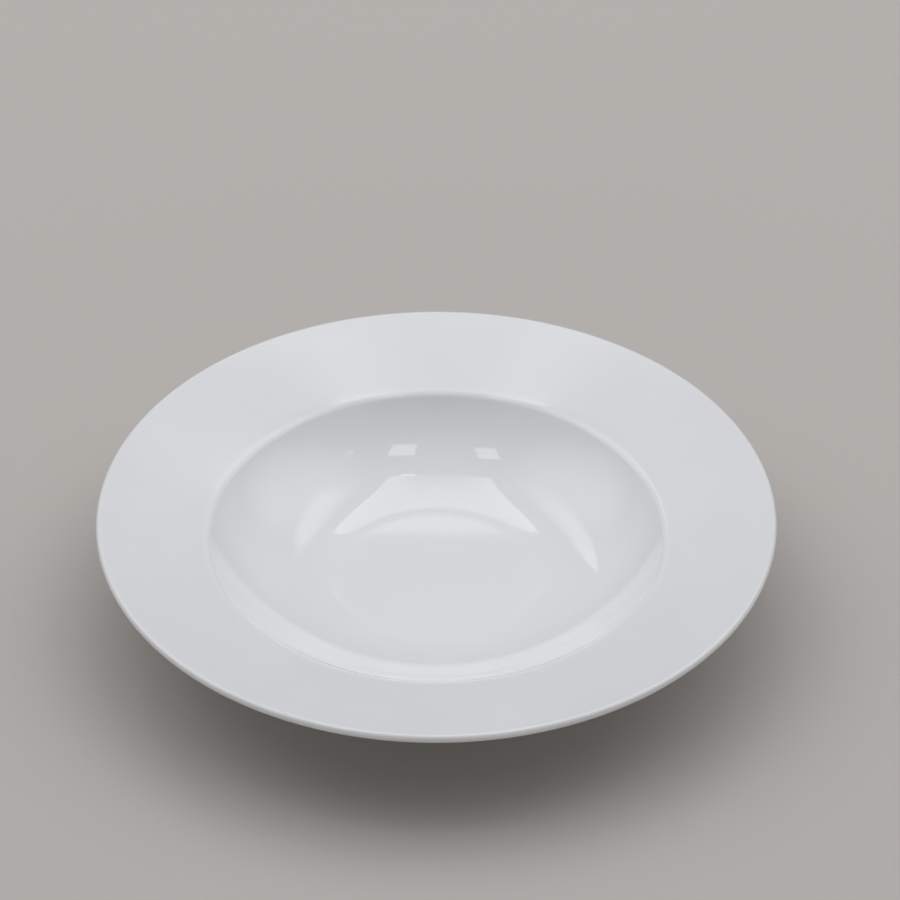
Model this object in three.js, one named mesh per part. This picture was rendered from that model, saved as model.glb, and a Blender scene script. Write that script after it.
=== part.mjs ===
// Deep plate of white glazed porcelain: a wide sloping rim, a round-edged well and a foot ring.
// Millimetres, +Z up. The origin is the centre of the flat face that the plate stands on.
// The plate is one fired piece. Its solids are its three layers of material: the porcelain body,
// the glaze coat over everything outside the foot ring, and the glaze inside the foot ring.
// The foot ring's standing face is bare, so the two glazes never meet.
import * as THREE from "three";

// Finished plate, measured over the glaze
const PLATE_DIAMETER = 280;
const PLATE_HEIGHT = 43.3;
const LIP_THICKNESS = 3.3;
const RIM_SLOPE = 15; // degrees, rising outwards
const RIM_UNDERSIDE_SLOPE = 16.6; // degrees, so that the rim thickens towards the well
const WELL_DIAMETER = 188.6; // where rim and well wall would meet in a sharp corner
const WELL_EDGE_RADIUS = 6.5; // rounds that corner
const FLOOR_DIAMETER = 81; // flat middle of the well
const FLOOR_THICKNESS = 5.5;
const WALL_THICKNESS = 5.4;
const RIM_ROOT_RADIUS = 11; // hollow under the rim, where it joins the wall

// Foot ring
const FOOT_DIAMETER = 136;
const FOOT_WIDTH = 6;
const FOOT_FILLET = 3; // hollow between the foot's outer side and the wall
const FOOT_RECESS = 3.4; // height of the base above the table
const RECESS_FILLET = 1.2; // hollow between the foot's inner side and the base
const FOOT_ROUND = 1.3; // rounded edges of the standing face
const BARE_BAND = 0.3; // unglazed height of the foot's sides above those rounded edges

const GLAZE_THICKNESS = 0.25;
const LAYER_GAP = 0.02; // a hair between body and glaze, so that the solids stay clear of each other

const SEGMENTS = 56; // facets round the plate

const radians = THREE.MathUtils.degToRad;
const UP = Math.PI / 2;
const DOWN = -Math.PI / 2;

// All profiles lie in one half plane: x is the distance from the axis, y the height above the table.
const point = (x, y) => new THREE.Vector2(x, y);
// Direction of the upward normal of a surface that rises outwards at the given angle
const normalOf = (slope) => point(-Math.sin(slope), Math.cos(slope));

// Lip: a half round at the end of the rim
const lipRadius = LIP_THICKNESS / 2;
const lipCentre = point(PLATE_DIAMETER / 2 - lipRadius, PLATE_HEIGHT - lipRadius);
const rimSlope = radians(RIM_SLOPE);
const undersideSlope = radians(RIM_UNDERSIDE_SLOPE);

// Well: one hollow arc, level where it leaves the flat floor, through the sharp corner with the rim
const floorRadius = FLOOR_DIAMETER / 2;
const floorHeight = FOOT_RECESS + FLOOR_THICKNESS;
const cornerRadius = WELL_DIAMETER / 2;
const cornerRise = lipRadius / Math.cos(rimSlope) - (lipCentre.x - cornerRadius) * Math.tan(rimSlope);
const wellWidth = cornerRadius - floorRadius;
const wellRise = lipCentre.y + cornerRise - floorHeight;
const wellRadius = (wellWidth ** 2 + wellRise ** 2) / (2 * wellRise);
const wellCentre = point(floorRadius, floorHeight + wellRadius);
const wallRadius = wellRadius + WALL_THICKNESS;

// Centre of an arc that runs from a face of the rim into the wall. It lies a given distance above the
// line through the lip's centre parallel to that face, and a given distance from the well's centre.
function rimArcCentre(slope, above, reach) {
  const along = point(Math.cos(slope), Math.sin(slope));
  const start = lipCentre.clone().addScaledVector(normalOf(slope), above);
  const fromWell = start.clone().sub(wellCentre);
  const middle = fromWell.dot(along);
  const inward = middle - Math.sqrt(middle ** 2 - fromWell.lengthSq() + reach ** 2);
  return start.addScaledVector(along, -inward);
}

// Slope of the wall where the line from the well's centre to an arc's centre crosses it
const wallSlopeTowards = (centre) => centre.clone().sub(wellCentre).angle() - 3 * UP;

const edgeCentre = rimArcCentre(rimSlope, lipRadius - WELL_EDGE_RADIUS, wellRadius + WELL_EDGE_RADIUS);
const edgeSlope = wallSlopeTowards(edgeCentre);
const rootCentre = rimArcCentre(undersideSlope, -lipRadius - RIM_ROOT_RADIUS, wallRadius + RIM_ROOT_RADIUS);
const rootSlope = wallSlopeTowards(rootCentre);

// Foot ring: upright sides, each with a hollow at its top
const footOutside = FOOT_DIAMETER / 2;
const footInside = footOutside - FOOT_WIDTH;
const glazeLine = FOOT_ROUND + BARE_BAND;
const bodyDepth = GLAZE_THICKNESS + LAYER_GAP;
const filletOut = footOutside + FOOT_FILLET - floorRadius;
const filletReach = wallRadius + FOOT_FILLET;
const filletDrop = Math.sqrt(filletReach ** 2 - filletOut ** 2);
const filletCentre = point(footOutside + FOOT_FILLET, wellCentre.y - filletDrop);
const footSlope = wallSlopeTowards(filletCentre);
const recessFillet = Math.min(RECESS_FILLET, FOOT_RECESS - glazeLine);
const recessCentre = point(footInside - recessFillet, FOOT_RECESS - recessFillet);

function arc(centre, radius, from, to, steps) {
  return new THREE.EllipseCurve(centre.x, centre.y, radius, radius, from, to, to < from).getPoints(steps);
}

// Surface from the glaze line outside the foot, up the wall, round the lip and down to the middle of
// the well, set back into the plate by the given depth.
function outerSurface(depth) {
  return [
    point(footOutside - depth, glazeLine),
    ...arc(filletCentre, FOOT_FILLET + depth, 2 * UP, UP + footSlope, 3),
    ...arc(wellCentre, wallRadius - depth, DOWN + footSlope, DOWN + rootSlope, 4).slice(1),
    ...arc(rootCentre, RIM_ROOT_RADIUS + depth, UP + rootSlope, UP + undersideSlope, 4).slice(1),
    ...arc(lipCentre, lipRadius - depth, DOWN + undersideSlope, 0, 3),
    ...arc(lipCentre, lipRadius - depth, 0, UP, 3).slice(1),
    ...arc(lipCentre, lipRadius - depth, UP, UP + rimSlope, 1).slice(1),
    ...arc(edgeCentre, WELL_EDGE_RADIUS - depth, UP + rimSlope, UP + edgeSlope, 4),
    ...arc(wellCentre, wellRadius + depth, DOWN + edgeSlope, DOWN, 7).slice(1),
    point(0, floorHeight - depth),
  ];
}

// Surface from the middle of the base to the glaze line inside the foot, set back likewise
function baseSurface(depth) {
  return [
    point(0, FOOT_RECESS + depth),
    ...arc(recessCentre, recessFillet + depth, UP, 0, 3),
    point(footInside + depth, glazeLine),
  ];
}

// Bare standing face of the foot with its two rounded edges, from the inside out
function standingFace() {
  const inner = point(footInside + bodyDepth + FOOT_ROUND, FOOT_ROUND);
  const outer = point(footOutside - bodyDepth - FOOT_ROUND, FOOT_ROUND);
  return [...arc(inner, FOOT_ROUND, 2 * UP, 3 * UP, 3), ...arc(outer, FOOT_ROUND, DOWN, 0, 3)];
}

// A closed profile, from the axis round the outside and back to the axis, turned about +Z
function turned(name, profile, material) {
  const geometry = new THREE.LatheGeometry(profile, SEGMENTS).rotateX(UP);
  const mesh = new THREE.Mesh(geometry, material);
  mesh.name = name;
  return mesh;
}

const porcelain = new THREE.MeshStandardMaterial({ color: "#e4e0d8", roughness: 0.85, metalness: 0 });
const glaze = new THREE.MeshStandardMaterial({ color: "#eceded", roughness: 0.08, metalness: 0 });

const bodyProfile = [...baseSurface(bodyDepth), ...standingFace(), ...outerSurface(bodyDepth)];
const coatProfile = [...outerSurface(GLAZE_THICKNESS).reverse(), ...outerSurface(0)];
const baseProfile = [...baseSurface(0), ...baseSurface(GLAZE_THICKNESS).reverse()];

const plate = new THREE.Group();
plate.add(turned("porcelain_body", bodyProfile, porcelain));
plate.add(turned("glaze_coat", coatProfile, glaze));
plate.add(turned("base_glaze", baseProfile, glaze));

export default plate;
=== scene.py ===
# Deep plate of white glazed porcelain, standing on a pale table under soft studio light.
from math import cos, pi, radians, sin, sqrt, tan

import bpy
from mathutils import Matrix, Vector


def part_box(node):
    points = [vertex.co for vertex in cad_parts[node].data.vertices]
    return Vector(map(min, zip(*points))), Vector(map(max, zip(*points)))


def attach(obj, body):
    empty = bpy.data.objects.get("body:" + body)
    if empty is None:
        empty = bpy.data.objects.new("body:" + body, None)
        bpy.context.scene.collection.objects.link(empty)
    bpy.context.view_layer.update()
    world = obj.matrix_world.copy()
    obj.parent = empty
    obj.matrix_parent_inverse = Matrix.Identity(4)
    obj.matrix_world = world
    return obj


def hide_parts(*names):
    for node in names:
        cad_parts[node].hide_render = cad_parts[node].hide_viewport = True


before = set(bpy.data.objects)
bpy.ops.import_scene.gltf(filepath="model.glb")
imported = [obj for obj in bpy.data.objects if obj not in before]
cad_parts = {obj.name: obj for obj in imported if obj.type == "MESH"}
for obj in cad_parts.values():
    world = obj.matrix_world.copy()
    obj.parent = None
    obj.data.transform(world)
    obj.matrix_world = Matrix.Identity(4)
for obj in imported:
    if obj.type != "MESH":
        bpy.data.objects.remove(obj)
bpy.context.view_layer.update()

MM = 0.001

# Finished plate, measured over the glaze. Its reach and height are read from the glaze coat part.
plate_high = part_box("glaze_coat")[1]
PLATE_RADIUS = plate_high.x
PLATE_HEIGHT = plate_high.z
LIP_RADIUS = 1.65 * MM
RIM_SLOPE = radians(15)
RIM_UNDERSIDE_SLOPE = radians(16.6)
WELL_RADIUS = 94.3 * MM  # where rim and well wall would meet in a sharp corner
WELL_EDGE_ROUND = 6.5 * MM
FLOOR_RADIUS = 40.5 * MM
FLOOR_THICKNESS = 5.5 * MM
WALL_THICKNESS = 5.4 * MM
RIM_ROOT_ROUND = 11 * MM
FOOT_RADIUS = 68 * MM
FOOT_WIDTH = 6 * MM
FOOT_FILLET = 3 * MM
FOOT_RECESS = 3.4 * MM
RECESS_FILLET = 1.2 * MM
FOOT_ROUND = 1.3 * MM
GLAZE_THICKNESS = 0.25 * MM
LAYER_GAP = 0.02 * MM  # between the body and its glaze
BODY_DEPTH = GLAZE_THICKNESS + LAYER_GAP

# The glaze's edge on the foot's sides
GLAZE_LINE = 1.6 * MM  # its height above the table
GLAZE_LINE_WANDER = 0.3 * MM  # from its lowest to its highest point, at most
GLAZE_LINE_WAVE = 9 * MM  # from one rise to the next, about
GLAZE_EDGE_ROUND = 0.11 * MM

TURNS = 240  # faces round the plate
HOLD = 0.5 * MM  # rings this far from the ends of straight stretches keep them flat in the shading
MERGE_REACH = 0.002 * MM  # points of the seam and the pole that lie closer than this become one
LINE_REACH = 0.01 * MM  # points this close to the glaze line belong to it

# Headings in the plane of the profile
UP = pi / 2
DOWN = -pi / 2


# Profile of the plate, in one half plane: x is the distance from the axis, y the height above the table.

def arc(centre, radius, start, end, steps):
    """Points on an arc, from one heading to another."""
    points = []
    for i in range(steps + 1):
        heading = start + (end - start) * i / steps
        points.append(centre + radius * Vector((cos(heading), sin(heading))))
    return points


def straight(start, end):
    """The points that hold a straight stretch flat, without its ends."""
    along = (end - start).normalized() * HOLD
    return [start + along, end - along]


lip_centre = Vector((PLATE_RADIUS - LIP_RADIUS, PLATE_HEIGHT - LIP_RADIUS))
floor_height = FOOT_RECESS + FLOOR_THICKNESS

# The well is one hollow arc, level where it leaves the floor, through the sharp corner with the rim.
corner_rise = LIP_RADIUS / cos(RIM_SLOPE) - (lip_centre.x - WELL_RADIUS) * tan(RIM_SLOPE)
well_width = WELL_RADIUS - FLOOR_RADIUS
well_rise = lip_centre.y + corner_rise - floor_height
well_round = (well_width**2 + well_rise**2) / (2 * well_rise)
well_centre = Vector((FLOOR_RADIUS, floor_height + well_round))
wall_round = well_round + WALL_THICKNESS


def rim_arc_centre(slope, above, reach):
    """Centre of an arc from a face of the rim into the wall.

    It lies above the line through the lip's centre that runs along that face, and at a reach from
    the well's centre.
    """
    along = Vector((cos(slope), sin(slope)))
    start = lip_centre + above * Vector((-sin(slope), cos(slope)))
    from_well = start - well_centre
    middle = from_well.dot(along)
    inward = middle - sqrt(middle**2 - from_well.length_squared + reach**2)
    return start - inward * along


def wall_slope_towards(centre):
    """Slope of the wall where the line from the well's centre to another centre crosses it."""
    away = centre - well_centre
    return -Vector((0, -1)).angle_signed(away)


edge_centre = rim_arc_centre(RIM_SLOPE, LIP_RADIUS - WELL_EDGE_ROUND, well_round + WELL_EDGE_ROUND)
edge_slope = wall_slope_towards(edge_centre)
root_centre = rim_arc_centre(RIM_UNDERSIDE_SLOPE, -LIP_RADIUS - RIM_ROOT_ROUND, wall_round + RIM_ROOT_ROUND)
root_slope = wall_slope_towards(root_centre)

foot_inside = FOOT_RADIUS - FOOT_WIDTH
fillet_out = FOOT_RADIUS + FOOT_FILLET - FLOOR_RADIUS
fillet_drop = sqrt((wall_round + FOOT_FILLET) ** 2 - fillet_out**2)
fillet_centre = Vector((FOOT_RADIUS + FOOT_FILLET, well_centre.y - fillet_drop))
foot_slope = wall_slope_towards(fillet_centre)
recess_centre = Vector((foot_inside - RECESS_FILLET, FOOT_RECESS - RECESS_FILLET))


def outer_profile(depth):
    """From the glaze line outside the foot, up the wall, round the lip and down to the well's middle.

    It is set back into the plate by the given depth.
    """
    fillet = arc(fillet_centre, FOOT_FILLET + depth, 2 * UP, UP + foot_slope, steps=8)
    wall = arc(well_centre, wall_round - depth, DOWN + foot_slope, DOWN + root_slope, steps=20)
    root = arc(root_centre, RIM_ROOT_ROUND + depth, UP + root_slope, UP + RIM_UNDERSIDE_SLOPE, steps=12)
    lip = arc(lip_centre, LIP_RADIUS - depth, DOWN + RIM_UNDERSIDE_SLOPE, 0, steps=10)
    lip += arc(lip_centre, LIP_RADIUS - depth, 0, UP, steps=12)[1:]
    lip += arc(lip_centre, LIP_RADIUS - depth, UP, UP + RIM_SLOPE, steps=3)[1:]
    edge = arc(edge_centre, WELL_EDGE_ROUND - depth, UP + RIM_SLOPE, UP + edge_slope, steps=14)
    well = arc(well_centre, well_round + depth, DOWN + edge_slope, DOWN, steps=40)
    middle = Vector((0, floor_height - depth))
    points = [Vector((FOOT_RADIUS - depth, GLAZE_LINE))]
    points += fillet + wall[1:] + root[1:]
    points += straight(root[-1], lip[0]) + lip
    points += straight(lip[-1], edge[0]) + edge
    points += well[1:]
    points += straight(well[-1], middle)[:1] + [middle]
    return points


def base_profile(depth):
    """From the middle of the base to the glaze line inside the foot, set back likewise."""
    middle = Vector((0, FOOT_RECESS + depth))
    fillet = arc(recess_centre, RECESS_FILLET + depth, UP, 0, steps=8)
    line = Vector((foot_inside + depth, GLAZE_LINE))
    return [middle] + straight(middle, fillet[0])[1:] + fillet + [line]


def standing_profile():
    """The bare face that the plate stands on, with its two rounded edges, from the inside out."""
    inner = Vector((foot_inside + BODY_DEPTH + FOOT_ROUND, FOOT_ROUND))
    outer = Vector((FOOT_RADIUS - BODY_DEPTH - FOOT_ROUND, FOOT_ROUND))
    inside = arc(inner, FOOT_ROUND, 2 * UP, 3 * UP, steps=8)
    outside = arc(outer, FOOT_ROUND, DOWN, 0, steps=8)
    return inside + straight(inside[-1], outside[0]) + outside


# Modelling

def draw_profile(name, points):
    """Draws a small square together to one vertex and pulls that along the profile. Stays in edit mode."""
    bpy.ops.object.select_all(action="DESELECT")
    bpy.ops.mesh.primitive_plane_add(size=MM)
    piece = bpy.context.object
    piece.name = name
    piece.data.name = name
    bpy.ops.object.mode_set(mode="EDIT")
    bpy.ops.mesh.select_all(action="SELECT")
    bpy.ops.mesh.merge(type="CENTER")
    bpy.ops.transform.translate(value=(points[0].x, 0, points[0].y))
    for last, point in zip(points, points[1:]):
        step = point - last
        bpy.ops.mesh.extrude_region_move(TRANSFORM_OT_translate={"value": (step.x, 0, step.y)})
    return piece


def turn_profile():
    """Turns the profile about the plate's axis and closes the seam and the pole. Leaves edit mode."""
    bpy.ops.mesh.select_all(action="SELECT")
    bpy.ops.mesh.spin(steps=TURNS, angle=2 * pi, center=(0, 0, 0), axis=(0, 0, 1))
    bpy.ops.mesh.select_all(action="SELECT")
    bpy.ops.mesh.remove_doubles(threshold=MERGE_REACH)
    bpy.ops.mesh.normals_make_consistent(inside=False)
    bpy.ops.object.mode_set(mode="OBJECT")
    bpy.ops.object.shade_smooth()


def glaze_over(piece):
    """Gives a turned surface the glaze's thickness, with a wandering rounded edge at the glaze line."""
    line = piece.vertex_groups.new(name="glaze_line")
    line.add([v.index for v in piece.data.vertices if abs(v.co.z - GLAZE_LINE) < LINE_REACH], 1, "REPLACE")

    flow = bpy.data.textures.new(piece.name + "_flow", "CLOUDS")
    flow.noise_scale = GLAZE_LINE_WAVE
    wander = piece.modifiers.new("wander", "DISPLACE")
    wander.texture = flow
    wander.texture_coords = "LOCAL"
    wander.direction = "Z"
    wander.vertex_group = line.name
    wander.mid_level = 0.5
    wander.strength = GLAZE_LINE_WANDER
    bpy.ops.object.modifier_apply(modifier=wander.name)

    thicken = piece.modifiers.new("thicken", "SOLIDIFY")
    thicken.thickness = GLAZE_THICKNESS
    thicken.offset = -1
    thicken.use_even_offset = True
    bpy.ops.object.modifier_apply(modifier=thicken.name)

    soften = piece.modifiers.new("soften", "BEVEL")
    soften.limit_method = "ANGLE"
    soften.angle_limit = radians(50)
    soften.width = GLAZE_EDGE_ROUND
    soften.segments = 3
    bpy.ops.object.modifier_apply(modifier=soften.name)
    bpy.ops.object.shade_smooth()


def finish_piece(piece, material, node):
    """Gives a piece its material and its body, and hides the model's part that it stands for."""
    piece.data.materials.append(material)
    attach(piece, "root")
    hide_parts(node)


# Finishes

def new_finish(name):
    """A material with its shader, and the place on the object that its patterns follow."""
    material = bpy.data.materials.new(name)
    material.use_nodes = True
    shader = material.node_tree.nodes["Principled BSDF"]
    place = material.node_tree.nodes.new("ShaderNodeTexCoord").outputs["Object"]
    return material, shader, place


def cloudiness(tree, place, size, detail=2.0):
    """Soft noise with patches of about the given size."""
    noise = tree.nodes.new("ShaderNodeTexNoise")
    noise.inputs["Scale"].default_value = 1 / size
    noise.inputs["Detail"].default_value = detail
    tree.links.new(place, noise.inputs["Vector"])
    return noise.outputs["Fac"]


def spread(tree, value, low, high, to_low, to_high):
    """Maps a range of values smoothly to another one, and stays within it."""
    ranger = tree.nodes.new("ShaderNodeMapRange")
    ranger.interpolation_type = "SMOOTHSTEP"
    ranger.inputs["From Min"].default_value = low
    ranger.inputs["From Max"].default_value = high
    ranger.inputs["To Min"].default_value = to_low
    ranger.inputs["To Max"].default_value = to_high
    tree.links.new(value, ranger.inputs["Value"])
    return ranger.outputs["Result"]


def calculated(tree, operation, first, second=None):
    """The result of an operation on one or two values. Either may be a socket."""
    maths = tree.nodes.new("ShaderNodeMath")
    maths.operation = operation
    for socket, value in zip(maths.inputs, (first, second)):
        if isinstance(value, (int, float)):
            socket.default_value = value
        elif value:
            tree.links.new(value, socket)
    return maths.outputs["Value"]


def tinted(tree, factor, colour, other):
    """Mixes two colours by a factor. Either may be a socket."""
    mix = tree.nodes.new("ShaderNodeMix")
    mix.data_type = "RGBA"
    tree.links.new(factor, mix.inputs["Factor"])
    for socket, value in ((mix.inputs[6], colour), (mix.inputs[7], other)):
        if isinstance(value, tuple):
            socket.default_value = (*value, 1)
        else:
            tree.links.new(value, socket)
    return mix.outputs[2]


def relief(tree, height, rise, under=None):
    """Raises the surface by noise, over an earlier relief if there is one."""
    bump = tree.nodes.new("ShaderNodeBump")
    bump.inputs["Strength"].default_value = 1
    bump.inputs["Distance"].default_value = rise
    tree.links.new(height, bump.inputs["Height"])
    if under:
        tree.links.new(under, bump.inputs["Normal"])
    return bump.outputs["Normal"]


def distance_from_axis(tree, place):
    """How far a place lies from the plate's axis."""
    flat = tree.nodes.new("ShaderNodeVectorMath")
    flat.operation = "MULTIPLY"
    flat.inputs[1].default_value = (1, 1, 0)
    tree.links.new(place, flat.inputs[0])
    out = tree.nodes.new("ShaderNodeVectorMath")
    out.operation = "LENGTH"
    tree.links.new(flat.outputs["Vector"], out.inputs[0])
    return out.outputs["Value"]


def make_white_glaze():
    """Clear gloss over white porcelain.

    It is painted a little lighter and greener on the well's wall, as painted light, and a little darker
    on the rim, as painted shade. It is warmer where it thins at the lip. Its gloss is softer on the rim
    and round the edge of the flat floor.
    """
    material, shader, place = new_finish("white_glaze")
    tree = material.node_tree
    from_axis = distance_from_axis(tree, place)

    white = (0.780, 0.787, 0.811)
    rim_white_painted_shade = (0.770, 0.770, 0.797)
    wall_white_painted_light = (0.812, 0.825, 0.827)
    thin = (0.770, 0.765, 0.760)
    speck = (0.24, 0.21, 0.18)
    speck_spacing = 38 * MM

    # Distances from the axis between which the finish changes
    up_wall = (58 * MM, 78 * MM)
    onto_rim = (93 * MM, 99 * MM)
    over_lip = (PLATE_RADIUS - 1.2 * MM, PLATE_RADIUS)
    onto_soft_gloss = (95.5 * MM, 101 * MM)

    # A ring of softer gloss at the floor's edge: the radius of its middle, and the distances from there
    # between which it fades
    ring = FLOOR_RADIUS + 1 * MM
    ring_fade = (1 * MM, 5 * MM)

    # the well's wall is painted lighter and greener: painted light
    colour = tinted(tree, spread(tree, from_axis, *up_wall, 0, 1), white, wall_white_painted_light)
    # the rim is painted a little darker: painted shade
    colour = tinted(tree, spread(tree, from_axis, *onto_rim, 0, 1), colour, rim_white_painted_shade)
    colour = tinted(tree, spread(tree, from_axis, *over_lip, 0, 1), colour, thin)

    mottle = spread(tree, cloudiness(tree, place, size=45 * MM, detail=3), 0.35, 0.75, 0, 0.35)
    # random soft patches lean towards the wall's colour, painted light included
    colour = tinted(tree, mottle, colour, wall_white_painted_light)

    cells = tree.nodes.new("ShaderNodeTexVoronoi")
    cells.inputs["Scale"].default_value = 1 / speck_spacing
    tree.links.new(place, cells.inputs["Vector"])
    in_speck = spread(tree, cells.outputs["Distance"], 0.008, 0.014, 0.8, 0)
    colour = tinted(tree, in_speck, colour, speck)
    tree.links.new(colour, shader.inputs["Base Color"])

    dullness = spread(tree, cloudiness(tree, place, size=30 * MM, detail=4), 0.3, 0.7, 0.012, 0.03)
    rim_dullness = spread(tree, from_axis, *onto_soft_gloss, 0, 0.15)
    dullness = calculated(tree, "ADD", dullness, rim_dullness)
    from_ring = calculated(tree, "ABSOLUTE", calculated(tree, "SUBTRACT", from_axis, ring))
    ring_dullness = spread(tree, from_ring, *ring_fade, 0.07, 0)
    dullness = calculated(tree, "ADD", dullness, ring_dullness)
    tree.links.new(dullness, shader.inputs["Roughness"])

    surface = relief(tree, cloudiness(tree, place, size=24 * MM), rise=0.002 * MM)
    surface = relief(tree, cloudiness(tree, place, size=3 * MM), rise=0.0001 * MM, under=surface)
    tree.links.new(surface, shader.inputs["Normal"])
    return material


def make_bare_porcelain():
    """Matt fired clay with a fine grain, rubbed a little grey where the plate stands."""
    material, shader, place = new_finish("bare_porcelain")
    tree = material.node_tree
    clay = (0.620, 0.575, 0.510)
    dusted = (0.560, 0.515, 0.450)
    rubbed = (0.330, 0.315, 0.295)
    above_table = (0.02 * MM, 0.3 * MM)  # heights between which the rubs fade out

    grain = spread(tree, cloudiness(tree, place, size=1.2 * MM, detail=4), 0.35, 0.7, 0, 1)
    colour = tinted(tree, grain, clay, dusted)
    rubs = spread(tree, cloudiness(tree, place, size=7 * MM, detail=6), 0.52, 0.72, 0, 0.8)
    height = tree.nodes.new("ShaderNodeSeparateXYZ")
    tree.links.new(place, height.inputs[0])
    underneath = spread(tree, height.outputs["Z"], *above_table, 1, 0)
    worn = calculated(tree, "MULTIPLY", rubs, underneath)
    colour = tinted(tree, worn, colour, rubbed)
    tree.links.new(colour, shader.inputs["Base Color"])

    dullness = spread(tree, cloudiness(tree, place, size=4 * MM, detail=3), 0.3, 0.7, 0.72, 0.9)
    tree.links.new(dullness, shader.inputs["Roughness"])
    shader.inputs["Specular IOR Level"].default_value = 0.3

    surface = relief(tree, cloudiness(tree, place, size=0.4 * MM, detail=3), rise=0.03 * MM)
    tree.links.new(surface, shader.inputs["Normal"])
    return material


white_glaze = make_white_glaze()
bare_porcelain = make_bare_porcelain()

# The three layers of the plate
body = draw_profile("fired_body", base_profile(BODY_DEPTH) + standing_profile() + outer_profile(BODY_DEPTH))
turn_profile()
finish_piece(body, bare_porcelain, "porcelain_body")

coat = draw_profile("glazed_surface", outer_profile(0))
turn_profile()
glaze_over(coat)
finish_piece(coat, white_glaze, "glaze_coat")

base = draw_profile("glazed_base", base_profile(0))
turn_profile()
glaze_over(base)
finish_piece(base, white_glaze, "base_glaze")


# Table and light, in metres

TABLE_SIZE = 8
TABLE_COLOUR = (0.50, 0.475, 0.45)
TABLE_DULLNESS = 0.7

LAMP_HEIGHT = 2.0
LAMP_MIDDLE = 0.1  # share of a lamp's width, on either side of its middle line, before its edge begins
LAMP_NEAR_END = 0.3  # share of a lamp's length that is its near end

ROOM_COLOUR = (0.98, 0.99, 1)


def lay_table():
    """A wide pale table top."""
    bpy.ops.object.select_all(action="DESELECT")
    bpy.ops.mesh.primitive_plane_add(size=TABLE_SIZE)
    table = bpy.context.object
    table.name = "table"
    material, shader, _ = new_finish("pale_table")
    shader.inputs["Base Color"].default_value = (*TABLE_COLOUR, 1)
    shader.inputs["Roughness"].default_value = TABLE_DULLNESS
    table.data.materials.append(material)


def hang_lamp(name, x, y, width, length, brightness, edge=1, near=1, taper=0, soft=0.02, turn=0):
    """A flat lamp that shines straight down. Its brightness is what a perfect mirror shows of its middle.

    Its long edges and its near end are dimmer or brighter than the middle by the factors given.
    The taper is the share of its length over which its far end narrows to a point, and soft is the
    share over which it fades out there.
    """
    bpy.ops.object.light_add(type="AREA", location=(x, y, LAMP_HEIGHT), rotation=(0, 0, turn))
    lamp = bpy.context.object
    lamp.name = name
    lamp.data.shape = "RECTANGLE"
    lamp.data.size = width
    lamp.data.size_y = length
    lamp.data.energy = brightness * pi * width * length
    lamp.visible_camera = False

    lamp.data.use_nodes = True
    tree = lamp.data.node_tree
    spot = tree.nodes.new("ShaderNodeNewGeometry").outputs["Parametric"]
    parts = tree.nodes.new("ShaderNodeSeparateXYZ")
    tree.links.new(spot, parts.inputs[0])
    from_middle = calculated(tree, "SUBTRACT", parts.outputs["X"], 0.5)
    from_middle = calculated(tree, "ABSOLUTE", from_middle)
    middle = spread(tree, parts.outputs["Y"], 0, LAMP_NEAR_END, near, 1)
    to_edge = spread(tree, from_middle, LAMP_MIDDLE, 0.5, 0, 1)
    gain = calculated(tree, "MULTIPLY", to_edge, calculated(tree, "SUBTRACT", edge, middle))
    strength = calculated(tree, "ADD", middle, gain)
    if taper:
        cut = calculated(tree, "MULTIPLY", from_middle, 2 * taper)
        along = calculated(tree, "ADD", parts.outputs["Y"], cut)
        lit = spread(tree, along, 1 - soft, 1, 1, 0)
        strength = calculated(tree, "MULTIPLY", strength, lit)
    tree.links.new(strength, tree.nodes["Emission"].inputs["Strength"])


def light_room(glows):
    """The room's own light: soft round glows, the same on the left and on the right."""
    room = bpy.data.worlds.new("room")
    room.use_nodes = True
    tree = room.node_tree
    air = tree.nodes["Background"]
    air.inputs["Color"].default_value = (*ROOM_COLOUR, 1)
    towards = tree.nodes.new("ShaderNodeTexCoord").outputs["Generated"]
    strength = None
    for elevation, heading, reach, brightness in glows:
        for side in (-1, 1):
            facing = tree.nodes.new("ShaderNodeVectorMath")
            facing.operation = "DOT_PRODUCT"
            tree.links.new(towards, facing.inputs[0])
            level = cos(radians(elevation))
            bearing = radians(side * heading)
            glow_middle = (level * sin(bearing), level * cos(bearing), sin(radians(elevation)))
            facing.inputs[1].default_value = glow_middle
            glow = spread(tree, facing.outputs["Value"], cos(radians(reach)), 1, 0, brightness)
            strength = calculated(tree, "ADD", strength, glow) if strength else glow
    tree.links.new(strength, air.inputs["Strength"])
    bpy.context.scene.world = room


lay_table()

# Each lamp has its place to the right of the plate and behind it, its width and length, and its brightness.

# A long strip behind the plate, brighter along its edges, shows in the well and on the back of the rim.
hang_lamp("strip", 0, 1.475, 0.63, 1.49, 1.35,
          edge=1.6, near=0.5, taper=0.2, turn=radians(-1.5))
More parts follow.
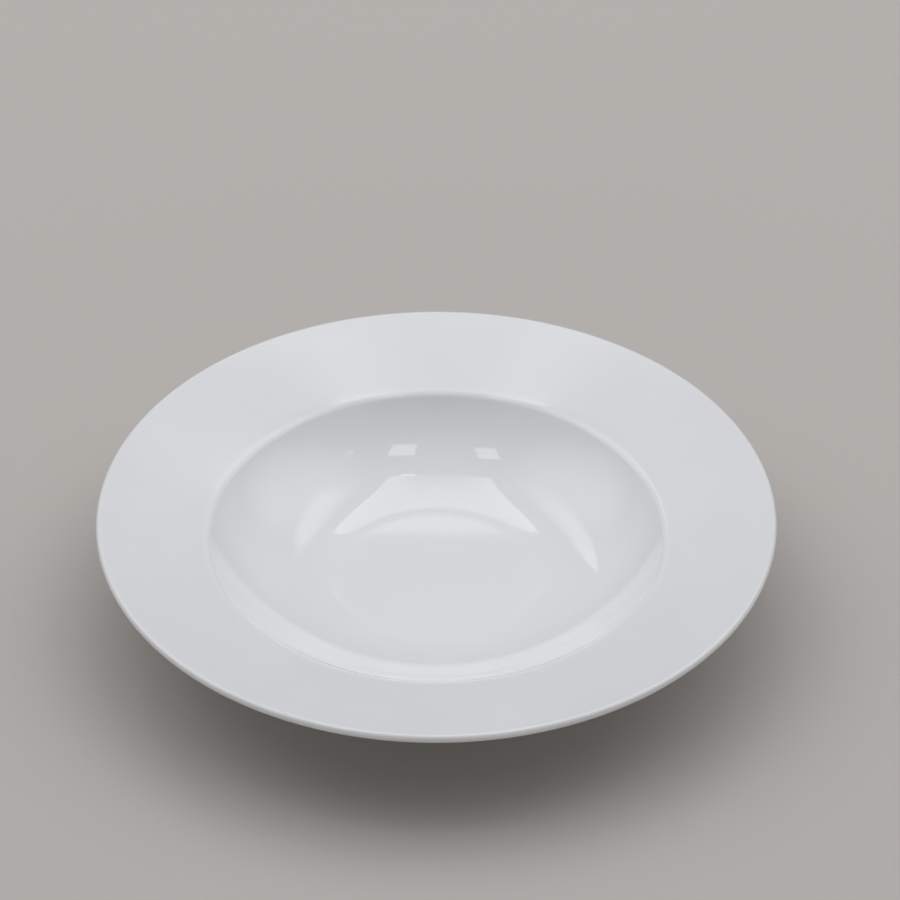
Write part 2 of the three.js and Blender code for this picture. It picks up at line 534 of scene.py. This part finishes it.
# A small bright spot at its near end shows as a short dash.
hang_lamp("strip_near_end", 0.17, 0.71, 0.095, 0.04, 4.5)
# A second, short strip further back shows in the flat of the well.
hang_lamp("second_strip", -0.005, 2.492, 0.2, 0.046, 1.25)
# Small square panels overhead show in the well's far wall.
hang_lamp("panel_right", 0.285, 0.058, 0.228, 0.262, 2.5)
hang_lamp("panel_left", -0.433, 0.134, 0.2, 0.257, 2.5)
hang_lamp("panel_far_right", 0.82, 0.1, 0.09, 0.14, 1.2)
# Soft bands on either side show as streaks down the well.
hang_lamp("band_right", 0.76, 1.56, 0.66, 1.84, 1.7,
          edge=0, near=0.1, taper=0.25, soft=0.35, turn=radians(-6))
hang_lamp("band_left", -1.07, 2.16, 0.64, 3.0, 1.5,
          edge=0, near=0.25, taper=0.7, soft=0.1, turn=radians(20))

# Each glow has its elevation, its heading away from the back and its reach, in degrees, and the brightness
# of its middle.
light_room([(50, 65, 60, 0.84), (50, 63, 25, 1.21), (0, 160, 25, 1.8)])

# The camera stands where the photograph's fitted camera stood.
CAMERA_LENS = 145.4  # focal length in millimetres
CAMERA_SENSOR = 36  # width in millimetres
CAMERA_DISTANCE = 1.4988  # from the middle of the lip
CAMERA_ELEVATION = radians(38.83)
CAMERA_TILT = radians(37.86)  # below the horizon
CAMERA_PAN = radians(0.299)  # to the right
CAMERA_ROLL = radians(0.091)
CAMERA_ASIDE = -0.55 * MM

bpy.ops.object.camera_add()
camera = bpy.context.object
camera.name = "camera"
camera.data.lens = CAMERA_LENS
camera.data.sensor_width = CAMERA_SENSOR
back = CAMERA_DISTANCE * cos(CAMERA_ELEVATION)
above = lip_centre.y + CAMERA_DISTANCE * sin(CAMERA_ELEVATION)
stand = Matrix.Translation((CAMERA_ASIDE, -back, above))
pan = Matrix.Rotation(-CAMERA_PAN, 4, "Z")
tilt = Matrix.Rotation(UP - CAMERA_TILT, 4, "X")
roll = Matrix.Rotation(CAMERA_ROLL, 4, "Z")
camera.matrix_world = stand @ pan @ tilt @ roll
bpy.context.scene.camera = camera

bpy.context.scene.view_settings.view_transform = "Standard"
